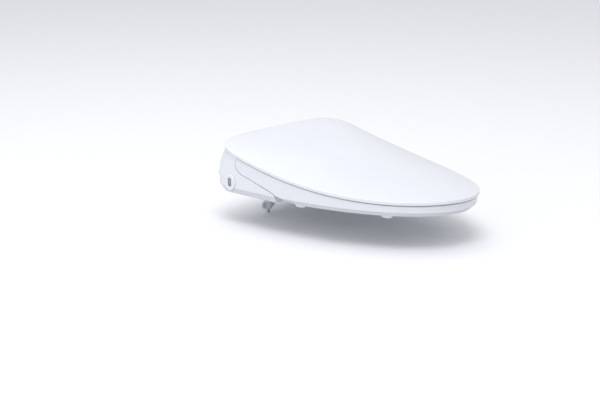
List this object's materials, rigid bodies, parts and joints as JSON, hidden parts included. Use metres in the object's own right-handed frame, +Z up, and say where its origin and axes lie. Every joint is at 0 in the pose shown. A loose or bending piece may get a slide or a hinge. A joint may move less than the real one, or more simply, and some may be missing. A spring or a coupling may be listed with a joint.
{
  "type": "electric bidet seat",
  "caption": "Warm-water bidet seat with soft-close lid, heated ring seat, sliding wash nozzle, air dryer and side control button, on a quick-release mounting plate.",
  "frame": {"origin": "midway between the two fixing bolts, on the mounting plate's underside, which is the plane of the bowl's rim", "axes": "+Z up, -Y towards the front of the bowl, +X to the right as seen from the front"},
  "size_m": [0.386, 0.5163, 0.1669],
  "materials": {
    "gloss_white": "polished moulded plastic, cool white",
    "satin_white": "fine satin moulded plastic",
    "grey_plastic": "moulded plastic",
    "button_grey": "satin moulded plastic",
    "dark_plastic": "fine matte texture",
    "pad_rubber": "soft elastomer",
    "steel": "turned stainless steel",
    "brass": "machined",
    "heater_foil": "metallised foil",
    "circuit_board": "solder mask",
    "carbon": "pressed granules"
  },
  "bodies": {
    "mount": {"mounting_plate": "grey_plastic", "fixing_bolt_left": "steel", "fixing_bolt_right": "steel", "rubber_washer_left": "pad_rubber", "rubber_washer_right": "pad_rubber", "wing_nut_left": "satin_white", "wing_nut_right": "satin_white"},
    "unit": {"upper_cover": "gloss_white", "lower_case": "satin_white", "case_screw_front_left": "steel", "case_screw_front_right": "steel", "case_screw_rear_left": "steel", "case_screw_rear_right": "steel", "hinge_pin_left": "steel", "hinge_pin_right": "steel", "seat_damper": "dark_plastic", "lid_damper": "dark_plastic", "nozzle_motor": "steel", "nozzle_guide": "grey_plastic", "dryer_housing": "dark_plastic", "dryer_duct": "grey_plastic", "deodorizer_housing": "dark_plastic", "water_heater_tank": "grey_plastic", "heater_element": "steel", "inlet_valve": "brass", "water_inlet": "brass", "flow_divider": "dark_plastic", "inlet_hose": "pad_rubber", "outlet_hose": "pad_rubber", "control_board": "circuit_board", "power_board": "circuit_board", "cord_gland": "dark_plastic", "side_button_bezel": "gloss_white", "side_button_switch": "dark_plastic"},
    "seat": {"seat_top_shell": "gloss_white", "seat_bottom_shell": "satin_white", "seat_heater_foil": "heater_foil", "seat_occupancy_sensor": "dark_plastic", "seat_bumper_front_left": "pad_rubber", "seat_bumper_front_right": "pad_rubber", "seat_bumper_rear_left": "pad_rubber", "seat_bumper_rear_right": "pad_rubber"},
    "lid": {"lid": "gloss_white", "lid_bumper_front_left": "pad_rubber", "lid_bumper_front_right": "pad_rubber", "lid_bumper_rear_left": "pad_rubber", "lid_bumper_rear_right": "pad_rubber"},
    "nozzle": {"nozzle_wand": "satin_white", "nozzle_tip": "steel", "nozzle_rack": "grey_plastic"},
    "pinion": {"drive_pinion": "grey_plastic"},
    "guard": {"nozzle_guard": "satin_white"},
    "flap": {"dryer_flap": "satin_white"},
    "dryer_wheel": {"dryer_impeller": "satin_white"},
    "deodorizer_wheel": {"deodorizer_impeller": "satin_white"},
    "drawer": {"filter_drawer": "satin_white", "carbon_filter": "carbon"},
    "side_push": {"side_button": "button_grey"},
    "release_push": {"release_button": "grey_plastic"}
  },
  "joints": [
    {"name": "unit_slide", "type": "slide", "parent": "mount", "child": "unit", "axis": [0, -1, 0], "range_m": [0, 0.06]},
    {"name": "seat_hinge", "type": "hinge", "parent": "unit", "child": "seat", "pos_m": [0, 0.032, 0.089], "axis": [1, 0, 0], "range_deg": [-100, 0]},
    {"name": "lid_hinge", "type": "hinge", "parent": "seat", "child": "lid", "pos_m": [0, 0.032, 0.089], "axis": [-1, 0, 0], "range_deg": [0, 110]},
    {"name": "nozzle_slide", "type": "slide", "parent": "unit", "child": "nozzle", "axis": [0, -0.9397, -0.342], "range_m": [0, 0.078]},
    {"name": "pinion_spin", "type": "hinge", "parent": "unit", "child": "pinion", "pos_m": [0.0189, -0.04975, 0.02292], "axis": [0, -0.342, 0.9397], "range_deg": [0, 426]},
    {"name": "guard_hinge", "type": "hinge", "parent": "unit", "child": "guard", "pos_m": [0, -0.0789, 0.0246], "axis": [-1, 0, 0], "range_deg": [0, 70]},
    {"name": "flap_hinge", "type": "hinge", "parent": "unit", "child": "flap", "pos_m": [-0.075, -0.0757, 0.0282], "axis": [-1, 0, 0], "range_deg": [0, 70]},
    {"name": "dryer_fan_spin", "type": "hinge", "parent": "unit", "child": "dryer_wheel", "pos_m": [-0.075, -0.008, 0.02], "axis": [0, 0, 1], "continuous": true},
    {"name": "deodorizer_fan_spin", "type": "hinge", "parent": "unit", "child": "deodorizer_wheel", "pos_m": [0.099, -0.023, 0.027], "axis": [1, 0, 0], "continuous": true},
    {"name": "filter_drawer_slide", "type": "slide", "parent": "unit", "child": "drawer", "axis": [1, 0, 0], "range_m": [0, 0.055]},
    {"name": "side_button_press", "type": "slide", "parent": "unit", "child": "side_push", "axis": [1, 0, 0], "range_m": [0, 0.0018], "stiffness_N_per_m": 600, "springref_m": -0.001},
    {"name": "release_button_press", "type": "slide", "parent": "unit", "child": "release_push", "axis": [-1, 0, 0], "range_m": [0, 0.004], "stiffness_N_per_m": 500, "springref_m": -0.001}
  ],
  "couplings": [
    {"joint": "pinion_spin", "follows": "nozzle_slide", "rad_per_m": 95.238}
  ]
}
